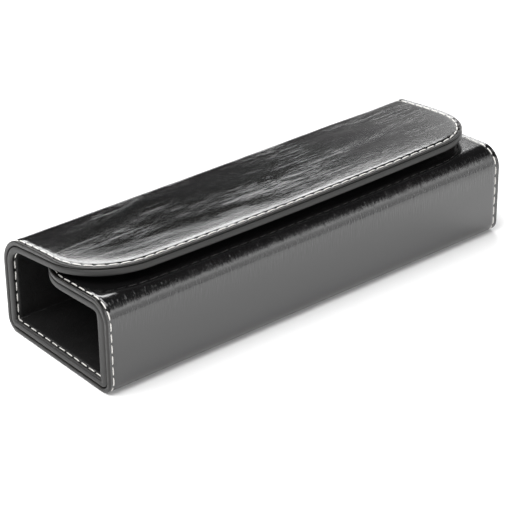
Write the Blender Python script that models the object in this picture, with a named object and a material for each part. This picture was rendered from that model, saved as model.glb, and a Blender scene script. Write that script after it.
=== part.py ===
"""Open-ended leather spectacle case with a flap lid.

One strip of leather, lined and stiffened, wraps round a rectangular section: tuck flap, front wall,
bottom, back wall and lid flap. Both ends are open. The lid folds over the back top edge and rests on the
tip of the tuck flap, which folds inwards from the front top edge. +X runs along the case, +Y to the back,
+Z up, and the origin is the centre of the underside.
"""

import math

import bmesh
import bpy
from mathutils import Matrix, Vector

MM = 0.001
CASE = "leather_spectacle_case"

# Overall size.
LENGTH = 166 * MM
WIDTH = 56 * MM
FRONT_HEIGHT = 32.4 * MM  # the height at which the tuck flap's top would meet the front wall's face
BACK_WALL_HEIGHT = 24.5 * MM  # where the back wall ends and the lid's fold begins

# Layers, from the outside in.
LEATHER = 1.65 * MM
GLUE_GAP = 0.15 * MM
LINING = 2.45 * MM
WALL = LEATHER + GLUE_GAP + LINING
LINING_PLY = 0.7 * MM  # lining leather left under a board
BOARD = 1.45 * MM
BOARD_MARGIN = 4.0 * MM  # a board stops short of the stitching
BOARD_PLAY = 0.15 * MM
FOLD_GAP = 0.3 * MM

# Folds, as radii of the outer face.
BASE_RADIUS = 4.6 * MM
TUCK_FOLD_RADIUS = 7.2 * MM
LID_FOLD_RADIUS = 10.3 * MM
TUCK_FALL = math.atan(0.05)  # the tuck flap falls this much towards its tip
LID_RISE = math.atan(0.12)  # the lid rises this much towards its front edge

# Flaps.
LID_REACH = 42.4 * MM
LID_CORNER = 22.5 * MM
LID_EDGE_RADIUS = 1.53
TUCK_REACH = 37.5 * MM
TUCK_CORNER = 20 * MM
TUCK_EDGE_RADIUS = 2.4

# Stitching.
STITCH_INSET = 1.7 * MM
THREAD_RADIUS = 0.3 * MM
GROOVE_RADIUS = 0.5 * MM
THREAD_DEPTH = 0.33 * MM
RUN_OUT = 1.0 * MM

# Closure discs.
DISC_RADIUS = 5.0 * MM
DISC_THICKNESS = 1.3 * MM
DISC_PLAY = 0.2 * MM
DISC_X = 45 * MM
DISC_Y = 2.5 * MM

HALF = LENGTH / 2
FRONT, BACK = -WIDTH / 2, WIDTH / 2
BASE_STEPS, FOLD_STEPS, CORNER_STEPS, EDGE_STEPS = 6, 10, 12, 6


def clear_scene():
    for obj in list(bpy.data.objects):
        bpy.data.objects.remove(obj)


def new_collection(name):
    collection = bpy.data.collections.new(name)
    bpy.context.scene.collection.children.link(collection)
    return collection


def principled(name, colour, roughness, metallic=0.0):
    material = bpy.data.materials.new(name)
    material.use_nodes = True
    shader = material.node_tree.nodes["Principled BSDF"]
    shader.inputs["Base Color"].default_value = (*colour, 1)
    shader.inputs["Roughness"].default_value = roughness
    shader.inputs["Metallic"].default_value = metallic
    material.diffuse_color = (*colour, 1)
    return material


def place(obj, collection, material=None, hinge=None):
    """Puts an object in its collection, gives it its finish and hangs it on its hinge line."""
    collection.objects.link(obj)
    if material:
        obj.data.materials.append(material)
    if hinge:
        obj.parent = hinge
        obj.matrix_parent_inverse = Matrix.Translation(hinge.location).inverted()
    return obj


def hinge_line(name, y, z):
    empty = bpy.data.objects.new(name, None)
    empty.location = (0, y, z)
    empty.empty_display_size = 0.02
    parts.objects.link(empty)
    return empty


def boolean_cut(obj, cutter):
    modifier = obj.modifiers.new(f"cut_{cutter.name}", "BOOLEAN")
    modifier.operation = "DIFFERENCE"
    modifier.solver = "EXACT"
    modifier.object = cutter


def as_mesh(curve_object):
    """The curve's surface as a mesh object with its caps welded on."""
    bpy.context.view_layer.update()
    graph = bpy.context.evaluated_depsgraph_get()
    mesh = bpy.data.meshes.new_from_object(curve_object.evaluated_get(graph))
    work = bmesh.new()
    work.from_mesh(mesh)
    bmesh.ops.remove_doubles(work, verts=work.verts, dist=1e-6)
    bmesh.ops.recalc_face_normals(work, faces=work.faces)
    work.to_mesh(mesh)
    work.free()
    name, matrix = curve_object.name, curve_object.matrix_world.copy()
    bpy.data.objects.remove(curve_object)
    obj = bpy.data.objects.new(name, mesh)
    obj.matrix_world = matrix
    return obj


def arc(centre, radius, start, end, steps):
    """Points on an arc, angles in degrees."""
    angles = (math.radians(start + (end - start) * i / steps) for i in range(steps + 1))
    return [(centre[0] + radius * math.cos(a), centre[1] + radius * math.sin(a)) for a in angles]


# ---------------------------------------------------------------- the section, as (y, z)

TUCK_CENTRE = (
    FRONT + TUCK_FOLD_RADIUS,
    FRONT_HEIGHT - TUCK_FOLD_RADIUS * (math.tan(TUCK_FALL) + 1 / math.cos(TUCK_FALL)),
)
LID_CENTRE = (BACK - LID_FOLD_RADIUS, BACK_WALL_HEIGHT)
TUCK_FOLD_END = 90 - math.degrees(TUCK_FALL)
LID_FOLD_END = 90 - math.degrees(LID_RISE)


def shell_section(depth):
    """Front wall, bottom and back wall at a depth below the outer face."""
    radius = BASE_RADIUS - depth
    front_arc = arc((FRONT + BASE_RADIUS, BASE_RADIUS), radius, 180, 270, BASE_STEPS)
    back_arc = arc((BACK - BASE_RADIUS, BASE_RADIUS), radius, 270, 360, BASE_STEPS)
    front_top = (FRONT + depth, TUCK_CENTRE[1] - FOLD_GAP)
    back_top = (BACK - depth, BACK_WALL_HEIGHT - FOLD_GAP)
    return [front_top, *front_arc, *back_arc, back_top]


def tuck_fold_section(depth):
    return arc(TUCK_CENTRE, TUCK_FOLD_RADIUS - depth, TUCK_FOLD_END, 180, FOLD_STEPS)


def lid_fold_section(depth):
    return arc(LID_CENTRE, LID_FOLD_RADIUS - depth, 0, LID_FOLD_END, FOLD_STEPS)


def crease(centre, radius, start, end):
    """The line a fold creases on: half the length of its middle layer away from each of its two ends."""
    middle = radius - WALL / 2
    half_turn = math.radians(end - start) / 2
    away = math.sqrt((middle * half_turn) ** 2 - (middle * math.sin(half_turn)) ** 2)
    reach = middle * math.cos(half_turn) + away
    bisector = math.radians(start + end) / 2
    return centre[0] + reach * math.cos(bisector), centre[1] + reach * math.sin(bisector)


def flap_outline(reach, corner, edge_radius, inset=0.0, root=FOLD_GAP):
    """A flap seen flat: straight sides, round corners and a slightly bowed edge, all tangent."""
    half, corner, edge = HALF - inset, corner - inset, edge_radius - inset
    edge_centre = reach - edge_radius
    side = half - corner
    corner_centre = edge_centre + math.sqrt((edge - corner) ** 2 - side**2)
    meet = math.degrees(math.atan2(corner_centre - edge_centre, side))
    right = arc((side, corner_centre), corner, 0, meet, CORNER_STEPS)
    middle = arc((0, edge_centre), edge, meet, 180 - meet, EDGE_STEPS)
    left = arc((-side, corner_centre), corner, 180 - meet, 180, CORNER_STEPS)
    return [(half, root), *right, *middle[1:-1], *left, (-half, root)]


def flap_frame(centre, radius, end, towards):
    """The plane of a flap's outer face: X along the case, Y away from the fold, Z out of the leather."""
    angle = math.radians(end)
    origin = (0, centre[0] + radius * math.cos(angle), centre[1] + radius * math.sin(angle))
    out = Vector((0, math.cos(angle), math.sin(angle)))
    along = Vector((towards, 0, 0))
    frame = Matrix((along, out.cross(along), out)).transposed().to_4x4()
    frame.translation = origin
    return frame


# ---------------------------------------------------------------- makers


def strip(name, section, depth, thickness, material):
    """A leather strip as wide as the case, bent to a section, its outer face at a depth in the wall."""
    outline = section(depth) + section(depth + thickness)[::-1]
    lengthwise = Matrix(((0, 0, 1), (1, 0, 0), (0, 1, 0))).to_4x4()
    obj = plate(name, outline, HALF, LENGTH, lengthwise)
    obj.data.shade_smooth()
    obj.data.set_sharp_from_angle(angle=math.radians(30))
    return place(obj, parts, material)


def plate(name, outline, top, thickness, frame):
    """A flat piece cut to an outline, its top face at a height in the flap's frame."""
    curve = bpy.data.curves.new(name, "CURVE")
    curve.dimensions = "2D"
    curve.fill_mode = "BOTH"
    curve.extrude = thickness / 2
    spline = curve.splines.new("POLY")
    spline.points.add(len(outline) - 1)
    for point, (x, y) in zip(spline.points, outline):
        point.co = (x, y, 0, 1)
    spline.use_cyclic_u = True
    obj = bpy.data.objects.new(name, curve)
    parts.objects.link(obj)
    obj.matrix_world = frame @ Matrix.Translation((0, 0, top - thickness / 2))
    return as_mesh(obj)


def thread_curve(name, path, radius):
    curve = bpy.data.curves.new(name, "CURVE")
    curve.dimensions = "3D"
    curve.bevel_depth = radius
    curve.bevel_resolution = 1
    curve.use_fill_caps = True
    spline = curve.splines.new("POLY")
    spline.points.add(len(path) - 1)
    for point, position in zip(spline.points, path):
        point.co = (*position, 1)
    obj = bpy.data.objects.new(name, curve)
    parts.objects.link(obj)
    return obj


def run_out(path):
    """The path made longer past both its ends."""
    first, last = Vector(path[0]), Vector(path[-1])
    before = first + (first - Vector(path[1])).normalized() * RUN_OUT
    after = last + (last - Vector(path[-2])).normalized() * RUN_OUT
    return [before, *path, after]


def seam(name, path, leather, hinge=None):
    """A run of thread, sunk in a groove of its own in the leather it is sewn through."""
    place(as_mesh(thread_curve(name, path, THREAD_RADIUS)), parts, thread, hinge)
    groove = as_mesh(thread_curve(f"groove_for_{name}", run_out(path), GROOVE_RADIUS))
    place(groove, cutters, hinge=hinge)
    boolean_cut(leather, groove)


def along_end(section, side):
    """A section's points on the stitching line of one end."""
    return [Vector((side * (HALF - STITCH_INSET), y, z)) for y, z in section]


def block(name, size, centre, collection, material=None):
    work = bmesh.new()
    bmesh.ops.create_cube(work, size=1, matrix=Matrix.Diagonal((*size, 1)))
    mesh = bpy.data.meshes.new(name)
    work.to_mesh(mesh)
    work.free()
    obj = place(bpy.data.objects.new(name, mesh), collection, material)
    obj.location = centre
    return obj


def disc(name, radius, thickness, matrix, collection, material, hinge):
    work = bmesh.new()
    bmesh.ops.create_cone(
        work, cap_ends=True, segments=24, radius1=radius, radius2=radius, depth=thickness
    )
    mesh = bpy.data.meshes.new(name)
    work.to_mesh(mesh)
    work.free()
    mesh.shade_smooth()
    mesh.set_sharp_from_angle(angle=math.radians(30))
    obj = bpy.data.objects.new(name, mesh)
    obj.matrix_world = matrix
    return place(obj, collection, material, hinge)


# ---------------------------------------------------------------- the case

clear_scene()
parts = new_collection(CASE)
cutters = new_collection("cutters")
black_leather = principled("black_leather", (0.018, 0.018, 0.02), 0.32)
black_lining = principled("black_lining", (0.014, 0.014, 0.015), 0.42)
thread = principled("white_thread", (0.82, 0.81, 0.78), 0.6)
greyboard = principled("greyboard", (0.33, 0.30, 0.26), 0.85)
magnet_plate = principled("nickel_plate", (0.62, 0.6, 0.57), 0.28, 1.0)

LINING_DEPTH = LEATHER + GLUE_GAP
BOARD_DEPTH = LINING_DEPTH + BOARD_PLAY
POCKET = LINING - LINING_PLY
INSIDE_DEPTH = WALL - THREAD_DEPTH


def make_shell():
    outer = strip("shell_outer_leather", shell_section, 0, LEATHER, black_leather)
    lining = strip("shell_lining", shell_section, LINING_DEPTH, LINING, black_lining)
    for side, end in ((-1, "left"), (1, "right")):
        seam(f"shell_seam_outer_{end}", along_end(shell_section(THREAD_DEPTH), side), outer)
        seam(f"shell_seam_inner_{end}", along_end(shell_section(INSIDE_DEPTH), side), lining)

    long = LENGTH - 2 * BOARD_MARGIN
    bottom_wide = WIDTH - 2 * (BASE_RADIUS + BOARD_PLAY)
    low = BASE_RADIUS + BOARD_PLAY
    middle = BOARD_DEPTH + BOARD / 2
    for name, face, top in (("front_board", FRONT, TUCK_CENTRE[1]), ("back_board", BACK, BACK_WALL_HEIGHT)):
        tall = top - BOARD_MARGIN / 2 - low
        y = math.copysign(abs(face) - middle, face)
        wall_board(name, (long, BOARD, tall), (0, y, low + tall / 2), 1, lining)
    wall_board("bottom_board", (long, bottom_wide, BOARD), (0, 0, middle), 2, lining)


def wall_board(name, size, centre, thin_axis, lining):
    """A board in the shell, and the pocket it lies in, open to the outer leather."""
    block(name, size, centre, parts, greyboard)
    pocket_size = [side + 2 * BOARD_PLAY for side in size]
    pocket_size[thin_axis] = POCKET + BOARD_PLAY
    pocket_centre = list(centre)
    outward = math.copysign(1, centre[thin_axis]) if thin_axis == 1 else -1
    pocket_centre[thin_axis] += outward * BOARD_PLAY / 2
    boolean_cut(lining, block(f"pocket_for_{name}", pocket_size, pocket_centre, cutters))


def make_fold(name, section):
    outer = strip(f"{name}_leather", section, 0, LEATHER, black_leather)
    lining = strip(f"{name}_lining", section, LINING_DEPTH, LINING, black_lining)
    for side, end in ((-1, "left"), (1, "right")):
        seam(f"{name}_seam_outer_{end}", along_end(section(THREAD_DEPTH), side), outer)
        seam(f"{name}_seam_inner_{end}", along_end(section(INSIDE_DEPTH), side), lining)


def make_flap(name, reach, corner, edge_radius, frame, hinge, disc_name):
    """A flat flap: outer leather, lining with a pocket, board, two closure discs and the stitching."""

    def outline(inset=0.0, root=FOLD_GAP):
        return flap_outline(reach, corner, edge_radius, inset, root)

    leather = plate(f"{name}_leather", outline(), 0, LEATHER, frame)
    place(leather, parts, black_leather, hinge)
    lining = plate(f"{name}_lining", outline(), -LINING_DEPTH, LINING, frame)
    place(lining, parts, black_lining, hinge)

    board_root = BOARD_MARGIN / 2
    board = plate(f"{name}_board", outline(BOARD_MARGIN, board_root), -BOARD_DEPTH, BOARD, frame)
    place(board, parts, greyboard, hinge)
    pocket_outline = outline(BOARD_MARGIN - BOARD_PLAY, board_root - BOARD_PLAY)
    pocket_top = -LINING_DEPTH + BOARD_PLAY
    pocket = plate(f"pocket_for_{name}_board", pocket_outline, pocket_top, POCKET + BOARD_PLAY, frame)
    boolean_cut(lining, place(pocket, cutters, hinge=hinge))

    disc_height = -BOARD_DEPTH - BOARD / 2
    for side, end in ((-1, "left"), (1, "right")):
        across = frame.inverted() @ Vector((side * DISC_X, DISC_Y, frame.translation.z))
        matrix = frame @ Matrix.Translation((across.x, across.y, disc_height))
        title = f"{disc_name}_{end}"
        disc(title, DISC_RADIUS, DISC_THICKNESS, matrix, parts, magnet_plate, hinge)
        hole_radius, hole_depth = DISC_RADIUS + DISC_PLAY, BOARD * 2
        hole = disc(f"hole_for_{title}", hole_radius, hole_depth, matrix, cutters, None, hinge)
        boolean_cut(board, hole)

    for face, depth, layer in (("top", THREAD_DEPTH, leather), ("under", INSIDE_DEPTH, lining)):
        path = [frame @ Vector((x, y, -depth)) for x, y in outline(STITCH_INSET)]
        seam(f"{name}_seam_{face}", path, layer, hinge)


lid_hinge = hinge_line("lid_hinge_line", *crease(LID_CENTRE, LID_FOLD_RADIUS, 0, LID_FOLD_END))
tuck_hinge = hinge_line("tuck_hinge_line", *crease(TUCK_CENTRE, TUCK_FOLD_RADIUS, TUCK_FOLD_END, 180))
lid_frame = flap_frame(LID_CENTRE, LID_FOLD_RADIUS, LID_FOLD_END, -1)
tuck_frame = flap_frame(TUCK_CENTRE, TUCK_FOLD_RADIUS, TUCK_FOLD_END, 1)

make_shell()
make_fold("lid_fold", lid_fold_section)
make_fold("tuck_fold", tuck_fold_section)
make_flap("lid", LID_REACH, LID_CORNER, LID_EDGE_RADIUS, lid_frame, lid_hinge, "lid_magnet")
make_flap("tuck", TUCK_REACH, TUCK_CORNER, TUCK_EDGE_RADIUS, tuck_frame, tuck_hinge, "tuck_keeper")

for cutter in cutters.objects:
    cutter.hide_render = True
    cutter.display_type = "WIRE"
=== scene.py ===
import math
import random

import bmesh
import bpy
import numpy as np
from mathutils import Matrix, Vector


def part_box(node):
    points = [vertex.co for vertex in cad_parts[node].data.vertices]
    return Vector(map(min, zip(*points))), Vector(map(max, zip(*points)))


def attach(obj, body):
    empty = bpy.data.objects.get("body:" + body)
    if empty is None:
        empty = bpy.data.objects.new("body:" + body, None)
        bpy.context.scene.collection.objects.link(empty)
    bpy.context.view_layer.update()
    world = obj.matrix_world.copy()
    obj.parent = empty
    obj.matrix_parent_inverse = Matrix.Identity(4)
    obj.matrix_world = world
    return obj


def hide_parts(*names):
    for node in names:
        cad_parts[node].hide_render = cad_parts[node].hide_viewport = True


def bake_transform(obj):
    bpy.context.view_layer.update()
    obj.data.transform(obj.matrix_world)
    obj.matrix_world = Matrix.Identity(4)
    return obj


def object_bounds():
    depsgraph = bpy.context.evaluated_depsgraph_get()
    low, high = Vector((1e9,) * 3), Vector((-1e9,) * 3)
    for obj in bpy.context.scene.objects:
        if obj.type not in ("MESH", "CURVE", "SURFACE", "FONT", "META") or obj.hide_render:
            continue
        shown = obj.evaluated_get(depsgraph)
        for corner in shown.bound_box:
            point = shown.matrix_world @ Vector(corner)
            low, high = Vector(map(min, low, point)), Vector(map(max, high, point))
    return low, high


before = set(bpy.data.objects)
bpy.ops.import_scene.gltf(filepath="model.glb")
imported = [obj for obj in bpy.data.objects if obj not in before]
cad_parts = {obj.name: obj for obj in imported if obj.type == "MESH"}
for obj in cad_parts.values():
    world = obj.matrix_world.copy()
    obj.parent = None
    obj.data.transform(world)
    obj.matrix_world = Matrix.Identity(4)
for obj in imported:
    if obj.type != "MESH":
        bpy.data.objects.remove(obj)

MM = 0.001
cad_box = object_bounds()


# ------------------------------------------------------------------ the studio
# A pale table top, one big softbox over the left end, and one behind that draws the streaks along the lid.
# The room glows in front of the case and low at its back right. The rest of it is dark.

AIM = Vector((0.63 * MM, 3.97 * MM, 6.38 * MM))
LOOK_AZIMUTH, LOOK_ELEVATION, LOOK_ROLL = math.radians(-39.12), math.radians(28.62), math.radians(-0.67)
LOOK_DISTANCE = 0.6752
LENS, SENSOR_WIDTH = 141.3, 36


def camera_matrix():
    a, e = LOOK_AZIMUTH, LOOK_ELEVATION
    back = Vector((math.sin(a) * math.cos(e), -math.cos(a) * math.cos(e), math.sin(e)))
    right = Vector((math.cos(a), math.sin(a), 0))
    up = back.cross(right)
    c, s = math.cos(LOOK_ROLL), math.sin(LOOK_ROLL)
    matrix = Matrix((c * right + s * up, c * up - s * right, back)).transposed().to_4x4()
    matrix.translation = AIM + back * LOOK_DISTANCE
    return matrix


camera_data = bpy.data.cameras.new("camera")
camera_data.lens = LENS
camera_data.sensor_width = SENSOR_WIDTH
camera_data.clip_start = 0.01
camera = bpy.data.objects.new("camera", camera_data)
camera.matrix_world = camera_matrix()
bpy.context.scene.collection.objects.link(camera)
bpy.context.scene.camera = camera
bpy.context.scene.view_settings.view_transform = "Standard"


def softbox(name, place, towards, width, height, radiance):
    """An area light that shines evenly over its face, as bright as stated."""
    light = bpy.data.lights.new(name, "AREA")
    light.shape = "RECTANGLE"
    light.size, light.size_y = width, height
    light.energy = radiance * math.pi * width * height
    obj = bpy.data.objects.new(name, light)
    obj.location = place
    aim = Vector(towards) - Vector(place)
    obj.rotation_euler = aim.to_track_quat("-Z", "Y").to_euler()
    bpy.context.scene.collection.objects.link(obj)


softbox(
    "softbox_left", place=(-0.66, 0.0, 1.25), towards=(0, 0, 0), width=1.2, height=1.2, radiance=6.2
)
softbox(
    "softbox_back", place=(0.34, 1.00, 0.98), towards=(0, 0, 0.05), width=1.4, height=0.83, radiance=5.6
)


class Nodes:
    """One material's or world's node tree, with a method that adds any node."""

    def __init__(self, owner):
        owner.use_nodes = True
        self.tree = owner.node_tree
        self.tree.nodes.clear()

    def add(self, kind, settings=None, output=0, **inputs):
        node = self.tree.nodes.new(kind)
        for name, value in (settings or {}).items():
            setattr(node, name, value)
        for name, value in inputs.items():
            key = int(name[1:]) if name[0] == "_" else name.replace("_", " ")
            self.feed(node.inputs[key], value)
        return Value(self, node.outputs[output]) if node.outputs else node

    def feed(self, socket, value):
        if isinstance(value, Value):
            self.tree.links.new(value.socket, socket)
        else:
            socket.default_value = value


class Value:
    """A socket that can be used in sums: each operator adds its Math node."""

    def __init__(self, nodes, socket):
        self.nodes, self.socket = nodes, socket

    def math(self, operation, *others):
        slots = {f"_{i}": value for i, value in enumerate((self, *others))}
        return self.nodes.add("ShaderNodeMath", {"operation": operation}, **slots)

    def turned(self, operation, first):
        return self.nodes.add("ShaderNodeMath", {"operation": operation}, _0=first, _1=self)

    def __add__(self, other):
        return self.math("ADD", other)

    def __radd__(self, other):
        return self.turned("ADD", other)

    def __sub__(self, other):
        return self.math("SUBTRACT", other)

    def __rsub__(self, other):
        return self.turned("SUBTRACT", other)

    def __mul__(self, other):
        return self.math("MULTIPLY", other)

    def __rmul__(self, other):
        return self.turned("MULTIPLY", other)

    def over(self, low, high):
        """0 below low and 1 above high, or the other way round, with a soft step between."""
        settings = {"interpolation_type": "SMOOTHSTEP"}
        if low < high:
            return self.nodes.add("ShaderNodeMapRange", settings, _0=self, _1=low, _2=high)
        return 1 - self.over(high, low)

    def part(self, output):
        """Another output of the same node."""
        return Value(self.nodes, self.socket.node.outputs[output])


def blend_colours(nodes, share, first, second):
    return nodes.add("ShaderNodeMix", {"data_type": "RGBA"}, output=2, _0=share, _6=first, _7=second)


world = bpy.data.worlds.new("studio")
bpy.context.scene.world = world
room = Nodes(world)
ROOM_DARK, ROOM_LOW, ROOM_FRONT, ROOM_GLARE, ROOM_RIGHT = 0.015, 1.0, 0.20, 1.1, 1.0
ROOM_SEEN = (0.97, 0.97, 0.97, 1)
direction = room.add("ShaderNodeTexCoord", output="Generated")
heading = room.add("ShaderNodeSeparateXYZ", _0=direction)
to_right, to_back, to_up = heading, heading.part("Y"), heading.part("Z")
front_wall = to_back.over(-0.1, -0.35) * to_up.over(0.62, 0.5)
right_wall = to_right.over(0.56, 0.72) * to_back.over(-0.1, 0.1) * to_up.over(0.5, 0.4)
glare = to_up.over(0.28, 0.44)
raised = to_up.over(-0.02, 0.26)
front_glow = front_wall * (ROOM_LOW + raised * ROOM_FRONT + glare * ROOM_GLARE)
glow = ROOM_DARK + front_glow + right_wall * ROOM_RIGHT
dark_room = room.add("ShaderNodeBackground", Color=(1, 1, 1, 1), Strength=glow)
pale_room = room.add("ShaderNodeBackground", Color=ROOM_SEEN, Strength=1.0)
looking = room.add("ShaderNodeLightPath", output="Is Camera Ray")
shown = room.add("ShaderNodeMixShader", _0=looking, _1=dark_room, _2=pale_room)
room.add("ShaderNodeOutputWorld", Surface=shown)

TABLE_SIDE = 1.1
TABLE_GAP = 0.02 * MM
bpy.ops.mesh.primitive_plane_add(size=TABLE_SIDE, location=(0, 0, cad_box[0][2] - TABLE_GAP))
table_top = bpy.context.object
table_top.name = "table_top"
table_paint = bpy.data.materials.new("table_paint")
paper = Nodes(table_paint)
paper_place = paper.add("ShaderNodeTexCoord", output="Object")
paper_cloud = paper.add("ShaderNodeTexNoise", Vector=paper_place, Scale=3.0, Detail=3.0)
paper_tint = blend_colours(paper, paper_cloud, (0.93, 0.93, 0.93, 1), (0.95, 0.95, 0.95, 1))
paper_face = paper.add("ShaderNodeBsdfPrincipled", Base_Color=paper_tint, Roughness=0.9)
paper.add("ShaderNodeOutputMaterial", Surface=paper_face)
table_top.data.materials.append(table_paint)


# ------------------------------------------------------------------ outer leather
# One strip of glossy black leather wraps the whole case: tuck flap, front, bottom, back and lid flap. It is
# cut flat, its edges are turned under and it is stitched to the lining just inside them.

LEATHER, GLUE_GAP, LINING = 1.65 * MM, 0.15 * MM, 2.45 * MM
WALL = LEATHER + GLUE_GAP + LINING
TUCK_SLOPE, LID_SLOPE = 0.05, 0.12
TUCK_CORNER, TUCK_EDGE_RADIUS = 20 * MM, 2.4
LID_CORNER, LID_EDGE_RADIUS = 22.5 * MM, 1.53
BASE_RADIUS = 4.6 * MM
BUTT = 2.5 * MM  # how far past a fold its piece of leather runs on over the wall

shell_low, shell_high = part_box("shell_outer_leather")
tuck_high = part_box("tuck_leather")[1]
lid_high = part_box("lid_leather")[1]
lid_fold_low, lid_fold_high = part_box("lid_fold_leather")
tuck_fold_low, tuck_fold_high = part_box("tuck_fold_leather")
HALF = shell_high[0]
FRONT, BACK = shell_low[1], shell_high[1]
TUCK_TURN = math.pi / 2 + math.atan(TUCK_SLOPE)
LID_TURN = math.pi / 2 - math.atan(LID_SLOPE)
TUCK_RADIUS = (tuck_fold_high[2] - tuck_fold_low[2]) / math.sin(math.pi - TUCK_TURN)
LID_RADIUS = (lid_fold_high[2] - lid_fold_low[2]) / math.sin(LID_TURN)
TUCK_REACH = (tuck_high[1] - tuck_fold_high[1]) / math.cos(math.atan(TUCK_SLOPE))
LID_REACH = (lid_high[2] - lid_fold_high[2]) / math.sin(math.atan(LID_SLOPE))

# The strip's course round the case from the tuck's tip to the lid's edge: straight runs and left turns.
COURSE = [
    ("run", TUCK_REACH),
    ("turn", TUCK_TURN, TUCK_RADIUS),
    ("run", tuck_fold_low[2] - BASE_RADIUS),
    ("turn", math.pi / 2, BASE_RADIUS),
    ("run", BACK - FRONT - 2 * BASE_RADIUS),
    ("turn", math.pi / 2, BASE_RADIUS),
    ("run", lid_fold_low[2] - BASE_RADIUS),
    ("turn", LID_TURN, LID_RADIUS),
    ("run", LID_REACH),
]


def follow_course():
    """Each stretch's start along the strip, its start point and heading, worked out from the tuck's tip."""
    stretches, along, place, heading = [], 0.0, np.zeros(2), math.pi - math.atan(TUCK_SLOPE)
    for kind, amount, *radius in COURSE:
        radius = radius[0] if radius else 0.0
        stretches.append((along, place.copy(), heading, radius))
        if kind == "run":
            along += amount
            place = place + amount * np.array((math.cos(heading), math.sin(heading)))
        else:
            centre = place + radius * np.array((-math.sin(heading), math.cos(heading)))
            heading += amount
            along += amount * radius
            place = centre + radius * np.array((math.sin(heading), -math.cos(heading)))
    stretches.append((along, place.copy(), heading, 0.0))
    shift = np.array((FRONT, 0.0)) - (stretches[2][1][0], stretches[4][1][1])
    return [(a, p + shift, h, r) for a, p, h, r in stretches]


STRETCHES = follow_course()
TUCK_FOLD_START, TUCK_FOLD_END = STRETCHES[1][0], STRETCHES[2][0]
FRONT_WALL_END = STRETCHES[3][0]
LID_FOLD_START, LID_FOLD_END = STRETCHES[7][0], STRETCHES[8][0]
STRIP_END = STRETCHES[-1][0]
FRONT_BUTT = TUCK_FOLD_END + BUTT
BACK_BUTT = LID_FOLD_START - BUTT


def wrapped(x, along, depth):
    """Points of the flat strip, wrapped round the case at a depth under its outer face."""
    x, along, depth = np.broadcast_arrays(x, along, depth)
    y, z = np.zeros(along.shape), np.zeros(along.shape)
    for index, (start, place, heading, radius) in enumerate(STRETCHES[:-1]):
        end = STRETCHES[index + 1][0]
        last = index == len(STRETCHES) - 2
        here = ((along >= start) | (index == 0)) & ((along < end) | last)
        travel = along[here] - start
        inner = depth[here]
        if radius:
            angle = heading + travel / radius
            centre = place + radius * np.array((-math.sin(heading), math.cos(heading)))
            y[here] = centre[0] + (radius - inner) * np.sin(angle)
            z[here] = centre[1] - (radius - inner) * np.cos(angle)
        else:
            y[here] = place[0] + travel * math.cos(heading) - inner * math.sin(heading)
            z[here] = place[1] + travel * math.sin(heading) + inner * math.cos(heading)
    return np.stack((x, y, z), axis=-1)


class Flap:
    """The flat pattern of one flap: straight sides from a butt line, round corners, a bowed edge."""

    def __init__(self, length, corner, edge_radius, spacing):
        self.length, self.corner, self.edge = length, corner, edge_radius
        self.side = HALF - corner
        self.edge_centre = length - edge_radius
        rise = math.sqrt((edge_radius - corner) ** 2 - self.side**2)
        self.corner_centre = self.edge_centre + rise
        self.meet = math.atan2(rise, self.side)
        self.sides = round(self.corner_centre / spacing)
        self.rounds = 2 * round(corner * self.meet / spacing / 2)
        self.edges = 2 * round(edge_radius * (math.pi / 2 - self.meet) / spacing)

    def outline(self):
        """Points and outward normals along the edge, from the right end of the butt line to the left."""
        points, normals = [], []
        for i in range(self.sides):
            points.append((HALF, self.corner_centre * i / self.sides))
            normals.append((1, 0))
        for i in range(self.rounds):
            angle = self.meet * i / self.rounds
            normals.append((math.cos(angle), math.sin(angle)))
            x, v = normals[-1]
            points.append((self.side + self.corner * x, self.corner_centre + self.corner * v))
        for i in range(self.edges + 1):
            angle = self.meet + (math.pi - 2 * self.meet) * i / self.edges
            normals.append((math.cos(angle), math.sin(angle)))
            x, v = normals[-1]
            points.append((self.edge * x, self.edge_centre + self.edge * v))
        points, normals = np.array(points), np.array(normals)
        mirror = np.array((-1, 1))
        left = slice(self.sides + self.rounds - 1, None, -1)
        return (
            np.concatenate((points, points[left] * mirror)),
            np.concatenate((normals, normals[left] * mirror)),
        )

    def inset(self, x, v):
        """How far inside the edge a point lies."""
        x = np.abs(x)
        beside = HALF - x
        to_edge = self.edge - np.hypot(x, v - self.edge_centre)
        to_corner = self.corner - np.hypot(x - self.side, v - self.corner_centre)
        angle = np.arctan2(v - self.corner_centre, x - self.side)
        in_corner = (x > self.side) & (v > self.corner_centre) & (angle < self.meet)
        return np.where(in_corner, to_corner, np.minimum(beside, to_edge))


def soft_step(value, low, high):
    t = np.clip((value - low) / (high - low), 0, 1)
    return t * t * (3 - 2 * t)


WAVES, WAVE_SPREAD, WAVE_LEAN = 14, (0.6, 1.6), 0.45


def waves(x, along, seed, lengths):
    """Slow swells of the leather, longer along the case than across it, between about -1 and 1."""
    draw = random.Random(seed)
    total = np.zeros(np.broadcast(x, along).shape)
    for _ in range(WAVES):
        stretch = draw.uniform(*WAVE_SPREAD)
        lean = draw.uniform(-WAVE_LEAN, WAVE_LEAN)
        phase_x, phase_s = draw.uniform(0, math.tau), draw.uniform(0, math.tau)
        u = (x + lean * along) * math.tau / (lengths[0] * stretch) + phase_x
        w = along * math.tau / (lengths[1] * draw.uniform(*WAVE_SPREAD)) + phase_s
        total = total + np.sin(u) * np.cos(w)
    return total / math.sqrt(WAVES)


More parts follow.
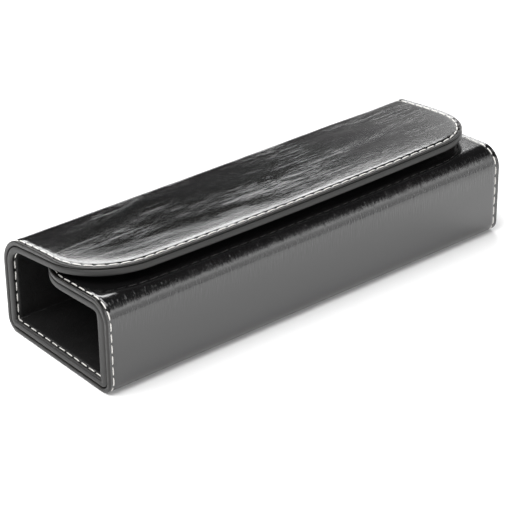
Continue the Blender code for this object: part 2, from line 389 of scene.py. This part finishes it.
STITCH_INSET = 1.7 * MM
STITCH_PITCH = 3.9 * MM
EDGE_ROLL, EDGE_ROLL_REACH = 0.05 * MM, 2.0 * MM
VALLEY, VALLEY_WIDTH = 0.28 * MM, 0.5 * MM
HOLE_LENGTH, HOLE_WIDTH = 0.55 * MM, 0.8 * MM
FRONT_ROLL, FRONT_ROLL_REACH = 1.0 * MM, 9.0 * MM
FRONT_ROLL_START, FRONT_ROLL_FULL = 36 * MM, 8 * MM  # back from the lid's front edge
SWELL, LID_SWELL, SWELL_LENGTHS = 0.02 * MM, 0.075 * MM, (62 * MM, 15 * MM)
RIPPLE, LID_RIPPLE, RIPPLE_LENGTHS = 0.004 * MM, 0.012 * MM, (17 * MM, 5 * MM)
LEATHER_HOLE = 0.13 * MM
LEATHER_INLAND = (2.5 * MM, 18 * MM)  # the swells begin and are full this far in


def sewn_edge(inset, stitch, hole_depth):
    """How deep an edge lies under the plain shape: its roll, the seam's valley and the holes in it."""
    roll = EDGE_ROLL * np.exp(-inset / EDGE_ROLL_REACH)
    valley = VALLEY * np.exp(-(((inset - STITCH_INSET) / VALLEY_WIDTH) ** 2))
    from_hole = np.abs((stitch + 0.5) % 1 - 0.5) * STITCH_PITCH
    hole = hole_depth * np.exp(-((from_hole / HOLE_LENGTH) ** 2))
    return roll + valley + hole * np.exp(-(((inset - STITCH_INSET) / HOLE_WIDTH) ** 2))


def leather_relief(x, along, inset, stitch):
    """How deep the outer face lies under its plain shape: its edges, swells, and the lid's bowed front."""
    on_lid = soft_step(along, BACK_BUTT, LID_FOLD_END)
    near_front = soft_step(along, STRIP_END - FRONT_ROLL_START, STRIP_END - FRONT_ROLL_FULL)
    bow = near_front * FRONT_ROLL * np.exp(-inset / FRONT_ROLL_REACH)
    inland = soft_step(inset, *LEATHER_INLAND)
    swell = (SWELL + LID_SWELL * on_lid) * (1 + waves(x, along, 5, SWELL_LENGTHS)) * inland
    ripple = (RIPPLE + LID_RIPPLE * on_lid) * (1 + waves(x, along, 11, RIPPLE_LENGTHS)) * inland
    return sewn_edge(inset, stitch, LEATHER_HOLE) + bow + swell + ripple


BOXY = 3.0  # how square a turned edge is
RIM_REACH = 0.38  # how far in its rounding begins, as a share of the thickness
RIM_STEPS = 12
RINGS = [v * MM for v in (7.0, 5.6, 4.5, 3.6, 3.0, 2.6, 2.3, 2.0, 1.7, 1.4, 1.1)]


def edge_section(thick):
    """An edge in section, from the face inside it round the turned rim to the back.

    Each station has its inset, its depth, and how far inside the rim it lies along the surface."""
    reach = RIM_REACH * thick
    rim = []
    for i in range(1, RIM_STEPS):
        angle = math.pi * i / RIM_STEPS
        out = abs(math.sin(angle)) ** (2 / BOXY)
        down = math.copysign(abs(math.cos(angle)) ** (2 / BOXY), math.cos(angle))
        rim.append((reach * (1 - out), thick / 2 * (1 - down)))
    stations = [(inset, 0.0, inset) for inset in RINGS if inset > reach] + [(reach, 0.0, reach)]
    walked, before = 0.0, (reach, 0.0)
    for inset, depth in rim + [(reach, thick)]:
        walked += math.hypot(inset - before[0], depth - before[1])
        before = (inset, depth)
        stations.append((inset, depth, reach - walked))
    return stations


SHARP_FROM = math.radians(65)


class Sheeting:
    """Collects the vertices and faces of one piece, with each vertex's place in the flat pattern."""

    def __init__(self):
        self.points, self.pattern, self.edge, self.faces, self.count = [], [], [], [], 0

    def rows(self, x, along, depth, edge):
        """Adds a grid of points and returns their numbers."""
        x, along, depth, edge = np.broadcast_arrays(x, along, depth, edge)
        numbers = np.arange(self.count, self.count + x.size).reshape(x.shape)
        self.points.append(wrapped(x, along, depth).reshape(-1, 3))
        self.pattern.append(np.stack((x, along, depth), axis=-1).reshape(-1, 3))
        self.edge.append(edge.reshape(-1))
        self.count += x.size
        return numbers

    def skin(self, numbers):
        """Quads between the neighbours of a grid of vertex numbers."""
        a, b = numbers[:-1, :-1].ravel(), numbers[:-1, 1:].ravel()
        c, d = numbers[1:, 1:].ravel(), numbers[1:, :-1].ravel()
        self.faces.extend(np.stack((a, b, c, d), axis=-1).tolist())

    def finish(self, name, material):
        mesh = bpy.data.meshes.new(name)
        mesh.from_pydata(np.concatenate(self.points).tolist(), [], self.faces)
        mesh.validate()
        pattern = mesh.attributes.new("pattern", "FLOAT_VECTOR", "POINT")
        pattern.data.foreach_set("vector", np.concatenate(self.pattern).ravel())
        edge = mesh.attributes.new("edge", "FLOAT", "POINT")
        edge.data.foreach_set("value", np.concatenate(self.edge))
        mesh.shade_smooth()
        mesh.set_sharp_from_angle(angle=SHARP_FROM)
        mesh.materials.append(material)
        obj = bpy.data.objects.new(name, mesh)
        bpy.context.scene.collection.objects.link(obj)
        face_out(obj)
        return obj


def face_out(obj):
    """Turns every face of a closed mesh outwards."""
    work = bmesh.new()
    work.from_mesh(obj.data)
    bmesh.ops.recalc_face_normals(work, faces=work.faces)
    work.to_mesh(obj.data)
    work.free()


def flap_stations(flap, sign, origin, depth):
    """How far along the stitching line each point of a flap's outline lies, in stitches."""
    points, normals = flap.outline()
    line = points - STITCH_INSET * normals
    places = wrapped(line[:, 0], origin + sign * line[:, 1], depth)
    length = np.concatenate(([0], np.cumsum(np.linalg.norm(np.diff(places, axis=0), axis=1))))
    return length / length[-1] * round(length[-1] / STITCH_PITCH)


def make_flap(name, flap, sign, origin, face, back, relief, material):
    """A closed piece for a flap and its fold: rings along the edge, a patch inside them, a plain back."""
    outward = 1 if back > face else -1
    thick = abs(back - face)
    points, normals = flap.outline()
    stitch = flap_stations(flap, sign, origin, face)
    sheet = Sheeting()
    numbers = []
    for inset, depth, edge in edge_section(thick):
        ring = points - inset * normals
        along = origin + sign * ring[:, 1]
        fall = relief(ring[:, 0], along, np.full(len(ring), inset), stitch) * (1 - depth / thick)
        numbers.append(sheet.rows(ring[:, 0], along, face + outward * (depth + fall), edge))
    sheet.skin(np.array(numbers))

    nb = flap.sides + flap.rounds // 2  # the patch's steps out from the butt line
    na = len(points) - 1 - 2 * nb  # and its steps along the case
    loop = points - RINGS[0] * normals
    right, top, left = loop[: nb + 1], loop[nb : nb + na + 1], loop[nb + na :][::-1]
    root = np.stack((top[:, 0] / top[0, 0] * right[0, 0], np.zeros(na + 1)), axis=-1)
    a, b = np.linspace(0, 1, na + 1)[None, :, None], np.linspace(0, 1, nb + 1)[:, None, None]
    grid = (1 - b) * root[None] + b * top[None] + (1 - a) * right[:, None] + a * left[:, None]
    corners = (1 - b) * ((1 - a) * root[0] + a * root[-1]) + b * ((1 - a) * top[0] + a * top[-1])
    grid = grid - corners
    inside = grid[:-1, 1:-1]
    x, v = inside[..., 0], inside[..., 1]
    along = origin + sign * v
    inset = flap.inset(x, v)
    fall = relief(x, along, inset, np.full(x.shape, 0.5))
    filled = np.zeros((nb + 1, na + 1), int)
    filled[:-1, 1:-1] = sheet.rows(x, along, face + outward * fall, inset)
    innermost = numbers[0]
    filled[:, 0] = innermost[: nb + 1]
    filled[-1, :] = innermost[nb : nb + na + 1]
    filled[:, -1] = innermost[nb + na :][::-1]
    sheet.skin(filled)

    last = numbers[-1]
    for i in range(nb):
        sheet.faces.append([last[i], last[i + 1], last[-2 - i], last[-1 - i]])
    sheet.faces.append(last[nb : nb + na + 1].tolist())
    column = np.array(numbers)
    sheet.faces.append([*filled[0].tolist(), *column[1:, -1].tolist(), *column[1:, 0][::-1].tolist()])
    return sheet.finish(name, material)


def make_shell(name, start, end, face, back, relief, material, spacing):
    """A closed piece for the walls: one loop across the case, carried along the strip's course."""
    outward = 1 if back > face else -1
    thick = abs(back - face)
    corner = edge_section(thick)
    between = round((2 * HALF - 2 * RINGS[0]) / (2 * spacing))
    middle = [-HALF + RINGS[0] + (2 * HALF - 2 * RINGS[0]) * i / between for i in range(1, between)]
    across = [(-HALF + i, d, e) for i, d, e in corner[::-1]]
    across += [(x, 0.0, HALF - abs(x)) for x in middle]
    across += [(HALF - i, d, e) for i, d, e in corner]
    x, depth, edge = np.array(across).T
    stations = np.linspace(start, end, round((end - start) / spacing) + 1)
    stitches = round((end - start) / STITCH_PITCH)
    stitch = (stations - start) / (end - start) * stitches
    inset = HALF - np.abs(x)
    fall = relief(x[None], stations[:, None], inset[None], stitch[:, None]) * (1 - depth[None] / thick)
    sheet = Sheeting()
    numbers = sheet.rows(x[None], stations[:, None], face + outward * (depth[None] + fall), edge[None])
    sheet.skin(numbers)
    for i in range(len(numbers) - 1):
        sheet.faces.append([numbers[i, 0], numbers[i + 1, 0], numbers[i + 1, -1], numbers[i, -1]])
    sheet.faces.append(numbers[0].tolist())
    sheet.faces.append(numbers[-1].tolist())
    return sheet.finish(name, material)


def pattern_place(nodes):
    """Where a point lies in the flat leather, in millimetres, so that a grain follows the folds."""
    place = nodes.add("ShaderNodeAttribute", {"attribute_name": "pattern"}, output="Vector")
    scaled = nodes.add("ShaderNodeVectorMath", {"operation": "SCALE"}, _0=place, Scale=1000.0)
    return scaled


def stretched(nodes, place, across, along):
    """The flat leather's coordinates, squeezed so that a noise of scale 1 has these two sizes in mm."""
    squeeze = (1 / across, 1 / along, 1.0)
    return nodes.add("ShaderNodeVectorMath", {"operation": "MULTIPLY"}, _0=place, _1=squeeze)


def cloud(nodes, place, detail=3.0, rough=0.5, twist=0.0):
    return nodes.add(
        "ShaderNodeTexNoise", Vector=place, Scale=1.0, Detail=detail, Roughness=rough, Distortion=twist
    )


def glossy_leather():
    """Black leather with a polished finish: pebble grain, fine creases and slow folds, in millimetres."""
    material = bpy.data.materials.new("black_leather_finish")
    n = Nodes(material)
    place = pattern_place(n)
    edge = n.add("ShaderNodeAttribute", {"attribute_name": "edge"}, output="Fac") * 1000.0
    along = n.add("ShaderNodeSeparateXYZ", output=1, _0=place)
    on_lid = along.over(LID_FOLD_START / MM, LID_FOLD_END / MM)
    fold = TUCK_FOLD_END / MM
    near_fold = along.over(fold + 8, fold - 2) * along.over(fold - 10, fold - 5)

    pebble = n.add("ShaderNodeTexVoronoi", {"feature": "F1"}, Vector=stretched(n, place, 0.5, 0.6), Scale=1.0)
    pores = cloud(n, stretched(n, place, 0.6, 0.4), 2.0)
    hairs = cloud(n, stretched(n, place, 0.38, 4.5), 1.0, 0.5, 0.4)
    creases = cloud(n, stretched(n, place, 12.0, 1.8), 4.0, 0.6, 0.9)
    folds = cloud(n, stretched(n, place, 34.0, 7.0), 2.0, 0.5, 0.6)
    patches = cloud(n, stretched(n, place, 30.0, 12.0), 2.0)
    worn = cloud(n, stretched(n, place, 3.0, 3.0), 4.0)
    worked = patches.over(0.44, 0.60) * on_lid
    crazed = creases.over(0.50, 0.64) * worked

    rim = edge.over(0.9, 0.3)
    height = (
        (1 - pebble.over(0.0, 0.8)) * 0.006
        + pores * (0.006 + 0.018 * on_lid + 0.034 * crazed)
        + hairs * (0.015 + 0.20 * near_fold + 0.005 * on_lid)
        + creases * (0.01 + 0.010 * on_lid + 0.04 * worked)
        + folds * on_lid * 0.05
        + worn * rim * 0.22
    )
    bump = n.add("ShaderNodeBump", Strength=1.0, Distance=1.0 * MM, Height=height)
    black = blend_colours(n, patches, (0.0040, 0.0040, 0.0043, 1), (0.0085, 0.0083, 0.0083, 1))
    polished = n.add(
        "ShaderNodeBsdfPrincipled",
        Base_Color=black,
        Roughness=0.09 + 0.06 * patches + 0.04 * pores,
        IOR=1.75,
        Coat_Weight=0.35,
        Coat_Roughness=0.08,
        Coat_IOR=1.5,
        Normal=bump,
    )
    rubbed = blend_colours(n, worn, (0.006, 0.0058, 0.0055, 1), (0.015, 0.014, 0.0125, 1))
    turned = n.add(
        "ShaderNodeBsdfPrincipled", Base_Color=rubbed, Roughness=0.26 + 0.26 * worn, IOR=1.5, Normal=bump
    )
    face = n.add("ShaderNodeMixShader", _0=rim, _1=polished, _2=turned)
    n.add("ShaderNodeOutputMaterial", Surface=face)
    return material


SPACING = 0.65 * MM
outer_finish = glossy_leather()
lid_flap = Flap(STRIP_END - BACK_BUTT, LID_CORNER, LID_EDGE_RADIUS, SPACING)
tuck_flap = Flap(FRONT_BUTT, TUCK_CORNER, TUCK_EDGE_RADIUS, SPACING)
FOLD_EASE = 1.0 * MM  # a distance past each end of a fold; the points worked out from it are not used


def across_lid_fold(piece):
    start, end = LID_FOLD_START - FOLD_EASE, LID_FOLD_END + FOLD_EASE
    fold_point(start)
    fold_point(end)
    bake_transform(piece)


def across_tuck_fold(piece):
    start, end = TUCK_FOLD_END + FOLD_EASE, TUCK_FOLD_START - FOLD_EASE
    fold_point(start)
    fold_point(end)
    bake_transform(piece)


def fold_point(along):
    return tuple(wrapped(0.0, along, WALL / 2).tolist())


shell_leather = make_shell(
    "shell_leather_skin", FRONT_BUTT, BACK_BUTT, 0.0, LEATHER, leather_relief, outer_finish, SPACING
)
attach(shell_leather, "shell")
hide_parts("shell_outer_leather")

lid_leather = make_flap(
    "lid_leather_skin", lid_flap, 1, BACK_BUTT, 0.0, LEATHER, leather_relief, outer_finish
)
across_lid_fold(lid_leather)
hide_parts("lid_leather", "lid_fold_leather")

tuck_leather = make_flap(
    "tuck_leather_skin", tuck_flap, -1, FRONT_BUTT, 0.0, LEATHER, leather_relief, outer_finish
)
across_tuck_fold(tuck_leather)
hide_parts("tuck_leather", "tuck_fold_leather")


# ------------------------------------------------------------------ lining
# A second strip of softer black leather lines the case and both flaps. Its edges are turned too, and show
# as the inner band of every edge, with a thin dark groove between the bands.

LINING_DEPTH = LEATHER + GLUE_GAP
FRONT_PADDING = 1.1 * MM
PUFF, PUFF_LENGTHS = 0.10 * MM, (24 * MM, 14 * MM)
LINING_HOLE = 0.1 * MM
LINING_INLAND = (2.5 * MM, 7 * MM)


def lining_relief(x, along, inset, stitch):
    """The lining puffs a little between the seams, pulls in where it is sewn, and is padded in front."""
    inland = soft_step(inset, *LINING_INLAND)
    puff = PUFF * (1 + waves(x, along, 23, PUFF_LENGTHS)) * inland
    on_front = soft_step(along, TUCK_FOLD_END - 8 * MM, TUCK_FOLD_END - 2 * MM)
    on_front = on_front * (1 - soft_step(along, FRONT_WALL_END + 1 * MM, FRONT_WALL_END + 7 * MM))
    return sewn_edge(inset, stitch, LINING_HOLE) + puff - FRONT_PADDING * on_front


def satin_lining():
    """Soft black lining leather: a close grain, shallow wrinkles and a duller finish."""
    material = bpy.data.materials.new("black_lining_finish")
    n = Nodes(material)
    place = pattern_place(n)
    edge = n.add("ShaderNodeAttribute", {"attribute_name": "edge"}, output="Fac") * 1000.0
    grain = n.add("ShaderNodeTexVoronoi", {"feature": "F1"}, Vector=stretched(n, place, 0.45, 0.5), Scale=1.0)
    wrinkles = cloud(n, stretched(n, place, 5.0, 3.5), 4.0, 0.6, 1.2)
    patches = cloud(n, stretched(n, place, 20.0, 12.0), 2.0)
    rim = edge.over(1.2, 0.4)
    height = (1 - grain.over(0.0, 0.8)) * 0.02 + wrinkles * 0.45 * (1 - rim)
    bump = n.add("ShaderNodeBump", Strength=0.5, Distance=1.0 * MM, Height=height)
    black = blend_colours(n, patches, (0.0065, 0.0065, 0.0067, 1), (0.015, 0.0148, 0.0145, 1))
    colour = blend_colours(n, rim, black, (0.015, 0.0146, 0.0139, 1))
    roughness = 0.28 + 0.12 * patches + 0.15 * rim
    face = n.add(
        "ShaderNodeBsdfPrincipled", Base_Color=colour, Roughness=roughness, IOR=1.5, Normal=bump
    )
    n.add("ShaderNodeOutputMaterial", Surface=face)
    return material


lining_finish = satin_lining()
shell_lining = make_shell(
    "shell_lining_skin", FRONT_BUTT, BACK_BUTT, WALL, LINING_DEPTH, lining_relief, lining_finish, SPACING
)
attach(shell_lining, "shell")
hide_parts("shell_lining")

lid_lining = make_flap(
    "lid_lining_skin", lid_flap, 1, BACK_BUTT, WALL, LINING_DEPTH, lining_relief, lining_finish
)
across_lid_fold(lid_lining)
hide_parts("lid_lining", "lid_fold_lining")

tuck_lining = make_flap(
    "tuck_lining_skin", tuck_flap, -1, FRONT_BUTT, WALL, LINING_DEPTH, lining_relief, lining_finish
)
across_tuck_fold(tuck_lining)
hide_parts("tuck_lining", "tuck_fold_lining")


# ------------------------------------------------------------------ stitching
# White waxed thread, three plies twisted together, lockstitched along every edge. Each stitch rises from
# its hole, lies on the leather and dives into the next hole.

THREAD_RADIUS = 0.26 * MM
STITCH_SHARE = 0.84
PLIES, THREAD_SIDES, THREAD_ROWS = 3, 12, 12
TWIST_TURNS = 1.6
PLY_GROOVE = 0.12  # share of the radius
THREAD_SUNK = 0.17 * MM  # how far under the valley's floor the thread's middle starts


def waxed_thread():
    material = bpy.data.materials.new("white_thread_finish")
    n = Nodes(material)
    place = n.add("ShaderNodeTexCoord", output="Object")
    spot = n.add("ShaderNodeTexNoise", Vector=place, Scale=900.0, Detail=3.0)
    fibre = n.add("ShaderNodeTexNoise", Vector=place, Scale=6000.0, Detail=3.0, Roughness=0.6)
    ply = n.add("ShaderNodeAttribute", {"attribute_name": "ply"}, output="Fac")
    unshaded_white = blend_colours(n, spot, (0.80, 0.79, 0.76, 1), (0.92, 0.915, 0.90, 1))
    # The white is painted darker down in the grooves between the plies; this is painted shade. The crowns
    # keep the thread's own off-white.
    colour = blend_colours(n, ply, (0.45, 0.43, 0.39, 1), unshaded_white)
    bump = n.add("ShaderNodeBump", Strength=0.4, Distance=0.05 * MM, Height=fibre)
    face = n.add(
        "ShaderNodeBsdfPrincipled",
        Base_Color=colour,
        Roughness=0.5 + 0.2 * fibre,
        Sheen_Weight=0.3,
        Normal=bump,
    )
    n.add("ShaderNodeOutputMaterial", Surface=face)
    return material


thread_finish = waxed_thread()
hand = random.Random(41)


class Thread:
    """Collects the stitches of one piece."""

    def __init__(self, face, outward, relief):
        self.face, self.outward, self.relief = face, outward, relief
        self.points, self.ply, self.faces = [], [], []

    def stitch(self, line):
        """One stitch over a line of flat-pattern points (x, along), from hole to hole."""
        share = STITCH_SHARE * hand.uniform(0.96, 1.04)
        t = np.linspace(0.5 - share / 2, 0.5 + share / 2, THREAD_ROWS)
        knots = np.linspace(0, 1, len(line))
        x, along = np.interp(t, knots, line[:, 0]), np.interp(t, knots, line[:, 1])
        u = np.linspace(-1, 1, THREAD_ROWS)
        lift = THREAD_RADIUS * (0.62 - 1.5 * np.abs(u) ** 5) * hand.uniform(0.92, 1.08)
        lean = hand.uniform(-0.1, 0.1) * MM * u
        under = self.relief(x, along, np.full(x.shape, STITCH_INSET), np.full(x.shape, 0.5))
        depth = self.face + self.outward * (under + THREAD_SUNK - lift)
        centre = wrapped(x, along, depth)
        above = wrapped(x, along, depth - self.outward * MM) - centre
        tangent = np.gradient(centre, axis=0)
        tangent /= np.linalg.norm(tangent, axis=1)[:, None]
        side = np.cross(tangent, above)
        side /= np.linalg.norm(side, axis=1)[:, None]
        rise = np.cross(side, tangent)
        centre = centre + side * lean[:, None]
        around = np.linspace(0, math.tau, THREAD_SIDES, endpoint=False)
        spin = hand.uniform(0, math.tau) + TWIST_TURNS * math.tau * (u + 1) / 2
        lobe = np.cos(PLIES * (around[None] + spin[:, None]))
        radius = THREAD_RADIUS * (1 - PLY_GROOVE + PLY_GROOVE * lobe)
        taper = np.sqrt(np.clip(1 - np.abs(u) ** 8, 0.25, 1))[:, None]
        radius = radius * taper
        ring = (
            centre[:, None]
            + side[:, None] * (np.cos(around)[None] * radius)[..., None]
            + rise[:, None] * (np.sin(around)[None] * radius)[..., None]
        )
        start = len(self.points) * THREAD_SIDES * THREAD_ROWS
        self.points.append(ring.reshape(-1, 3))
        # How far each point stands out of the grooves between the plies; the thread's material uses this to
        # paint shade into the grooves.
        self.ply.append(((lobe + 1) / 2).ravel())
        number = start + np.arange(THREAD_SIDES * THREAD_ROWS).reshape(THREAD_ROWS, THREAD_SIDES)
        looped = np.concatenate((number, number[:, :1]), axis=1)
        a, b = looped[:-1, :-1].ravel(), looped[:-1, 1:].ravel()
        c, d = looped[1:, 1:].ravel(), looped[1:, :-1].ravel()
        self.faces.extend(np.stack((a, b, c, d), axis=-1).tolist())
        self.faces.append(number[0][::-1].tolist())
        self.faces.append(number[-1].tolist())

    def sew(self, line):
        """Stitches along a whole line of flat-pattern points, evenly by the length on the leather."""
        places = wrapped(line[:, 0], line[:, 1], self.face)
        length = np.concatenate(([0], np.cumsum(np.linalg.norm(np.diff(places, axis=0), axis=1))))
        stitches = round(length[-1] / STITCH_PITCH)
        marks = np.linspace(0, length[-1], stitches + 1)
        for low, high in zip(marks, marks[1:]):
            stops = np.linspace(low, high, 5)
            x, along = np.interp(stops, length, line[:, 0]), np.interp(stops, length, line[:, 1])
            self.stitch(np.stack((x, along), axis=-1))

    def finish(self, name):
        mesh = bpy.data.meshes.new(name)
        mesh.from_pydata(np.concatenate(self.points).tolist(), [], self.faces)
        ply = mesh.attributes.new("ply", "FLOAT", "POINT")
        ply.data.foreach_set("value", np.concatenate(self.ply))
        mesh.shade_smooth()
        mesh.materials.append(thread_finish)
        obj = bpy.data.objects.new(name, mesh)
        bpy.context.scene.collection.objects.link(obj)
        face_out(obj)
        return obj


LAYERS = {
    "outer": (0.0, 1, leather_relief),
    "inner": (WALL, -1, lining_relief),
}
for layer, (face, outward, relief) in LAYERS.items():
    for side, end in ((-1, "left"), (1, "right")):
        stations = np.linspace(FRONT_BUTT, BACK_BUTT, 200)
        thread = Thread(face, outward, relief)
        thread.sew(np.stack((np.full(200, side * (HALF - STITCH_INSET)), stations), axis=-1))
        stitches = thread.finish(f"shell_stitches_{layer}_{end}")
        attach(stitches, "shell")
        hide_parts(f"shell_seam_{layer}_{end}")

for flap_name, flap, sign, origin in (("lid", lid_flap, 1, BACK_BUTT), ("tuck", tuck_flap, -1, FRONT_BUTT)):
    outline, normals = flap.outline()
    line = outline - STITCH_INSET * normals
    line = np.stack((line[:, 0], origin + sign * line[:, 1]), axis=-1)
    for layer, (face, outward, relief) in LAYERS.items():
        thread = Thread(face, outward, relief)
        thread.sew(line)
        stitches = thread.finish(f"{flap_name}_stitches_{layer}")
        across_fold = across_lid_fold if flap_name == "lid" else across_tuck_fold
        across_fold(stitches)
        seam = {"outer": "top", "inner": "under"}[layer]
        ends = [f"{flap_name}_fold_seam_{layer}_{end}" for end in ("left", "right")]
        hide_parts(f"{flap_name}_seam_{seam}", *ends)


# ------------------------------------------------------------------ stiffeners
# Grey millboard, die-cut, one board glued inside each wall and flap. The lid's and the tuck's boards have
# two holes each for the closure discs.


def millboard():
    material = bpy.data.materials.new("greyboard_finish")
    n = Nodes(material)
    place = n.add("ShaderNodeTexCoord", output="Object")
    pulp = n.add("ShaderNodeTexNoise", Vector=place, Scale=420.0, Detail=5.0, Roughness=0.65)
    flecks = n.add("ShaderNodeTexVoronoi", {"feature": "F1"}, Vector=place, Scale=700.0)
    layers = n.add("ShaderNodeTexNoise", Vector=place, Scale=60.0, Detail=2.0)
    grey = blend_colours(n, pulp, (0.25, 0.235, 0.21, 1), (0.40, 0.375, 0.335, 1))
    colour = blend_colours(n, flecks.over(0.12, 0.05), grey, (0.12, 0.11, 0.10, 1))
    bump = n.add("ShaderNodeBump", Strength=0.5, Distance=0.1 * MM, Height=pulp + 0.4 * layers)
    face = n.add(
        "ShaderNodeBsdfPrincipled", Base_Color=colour, Roughness=0.78 + 0.15 * pulp, Normal=bump
    )
    n.add("ShaderNodeOutputMaterial", Surface=face)
    return material


board_finish = millboard()
for node in ("bottom_board", "front_board", "back_board", "lid_board", "tuck_board"):
    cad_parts[node].material_slots[0].material = board_finish


# ------------------------------------------------------------------ closure discs
# Two nickel-plated magnets in the lid's board and two plated steel keepers in the tuck's board, glued in
# flush. They hold the lid down and are never seen from outside.


def nickel_plating():
    material = bpy.data.materials.new("nickel_plate_finish")
    n = Nodes(material)
    place = n.add("ShaderNodeTexCoord", output="Object")
    bloom = n.add("ShaderNodeTexNoise", Vector=place, Scale=300.0, Detail=4.0)
    drawn = n.add("ShaderNodeVectorMath", {"operation": "MULTIPLY"}, _0=place, _1=(300.0, 9000.0, 300.0))
    scratches = n.add("ShaderNodeTexNoise", Vector=drawn, Scale=1.0, Detail=3.0)
    colour = blend_colours(n, bloom, (0.56, 0.54, 0.50, 1), (0.68, 0.66, 0.62, 1))
    bump = n.add("ShaderNodeBump", Strength=0.25, Distance=0.02 * MM, Height=scratches)
    face = n.add(
        "ShaderNodeBsdfPrincipled",
        Base_Color=colour,
        Metallic=1.0,
        Roughness=0.2 + 0.2 * bloom,
        Normal=bump,
    )
    n.add("ShaderNodeOutputMaterial", Surface=face)
    return material


plating = nickel_plating()
for node in ("lid_magnet_left", "lid_magnet_right", "tuck_keeper_left", "tuck_keeper_right"):
    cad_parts[node].material_slots[0].material = plating
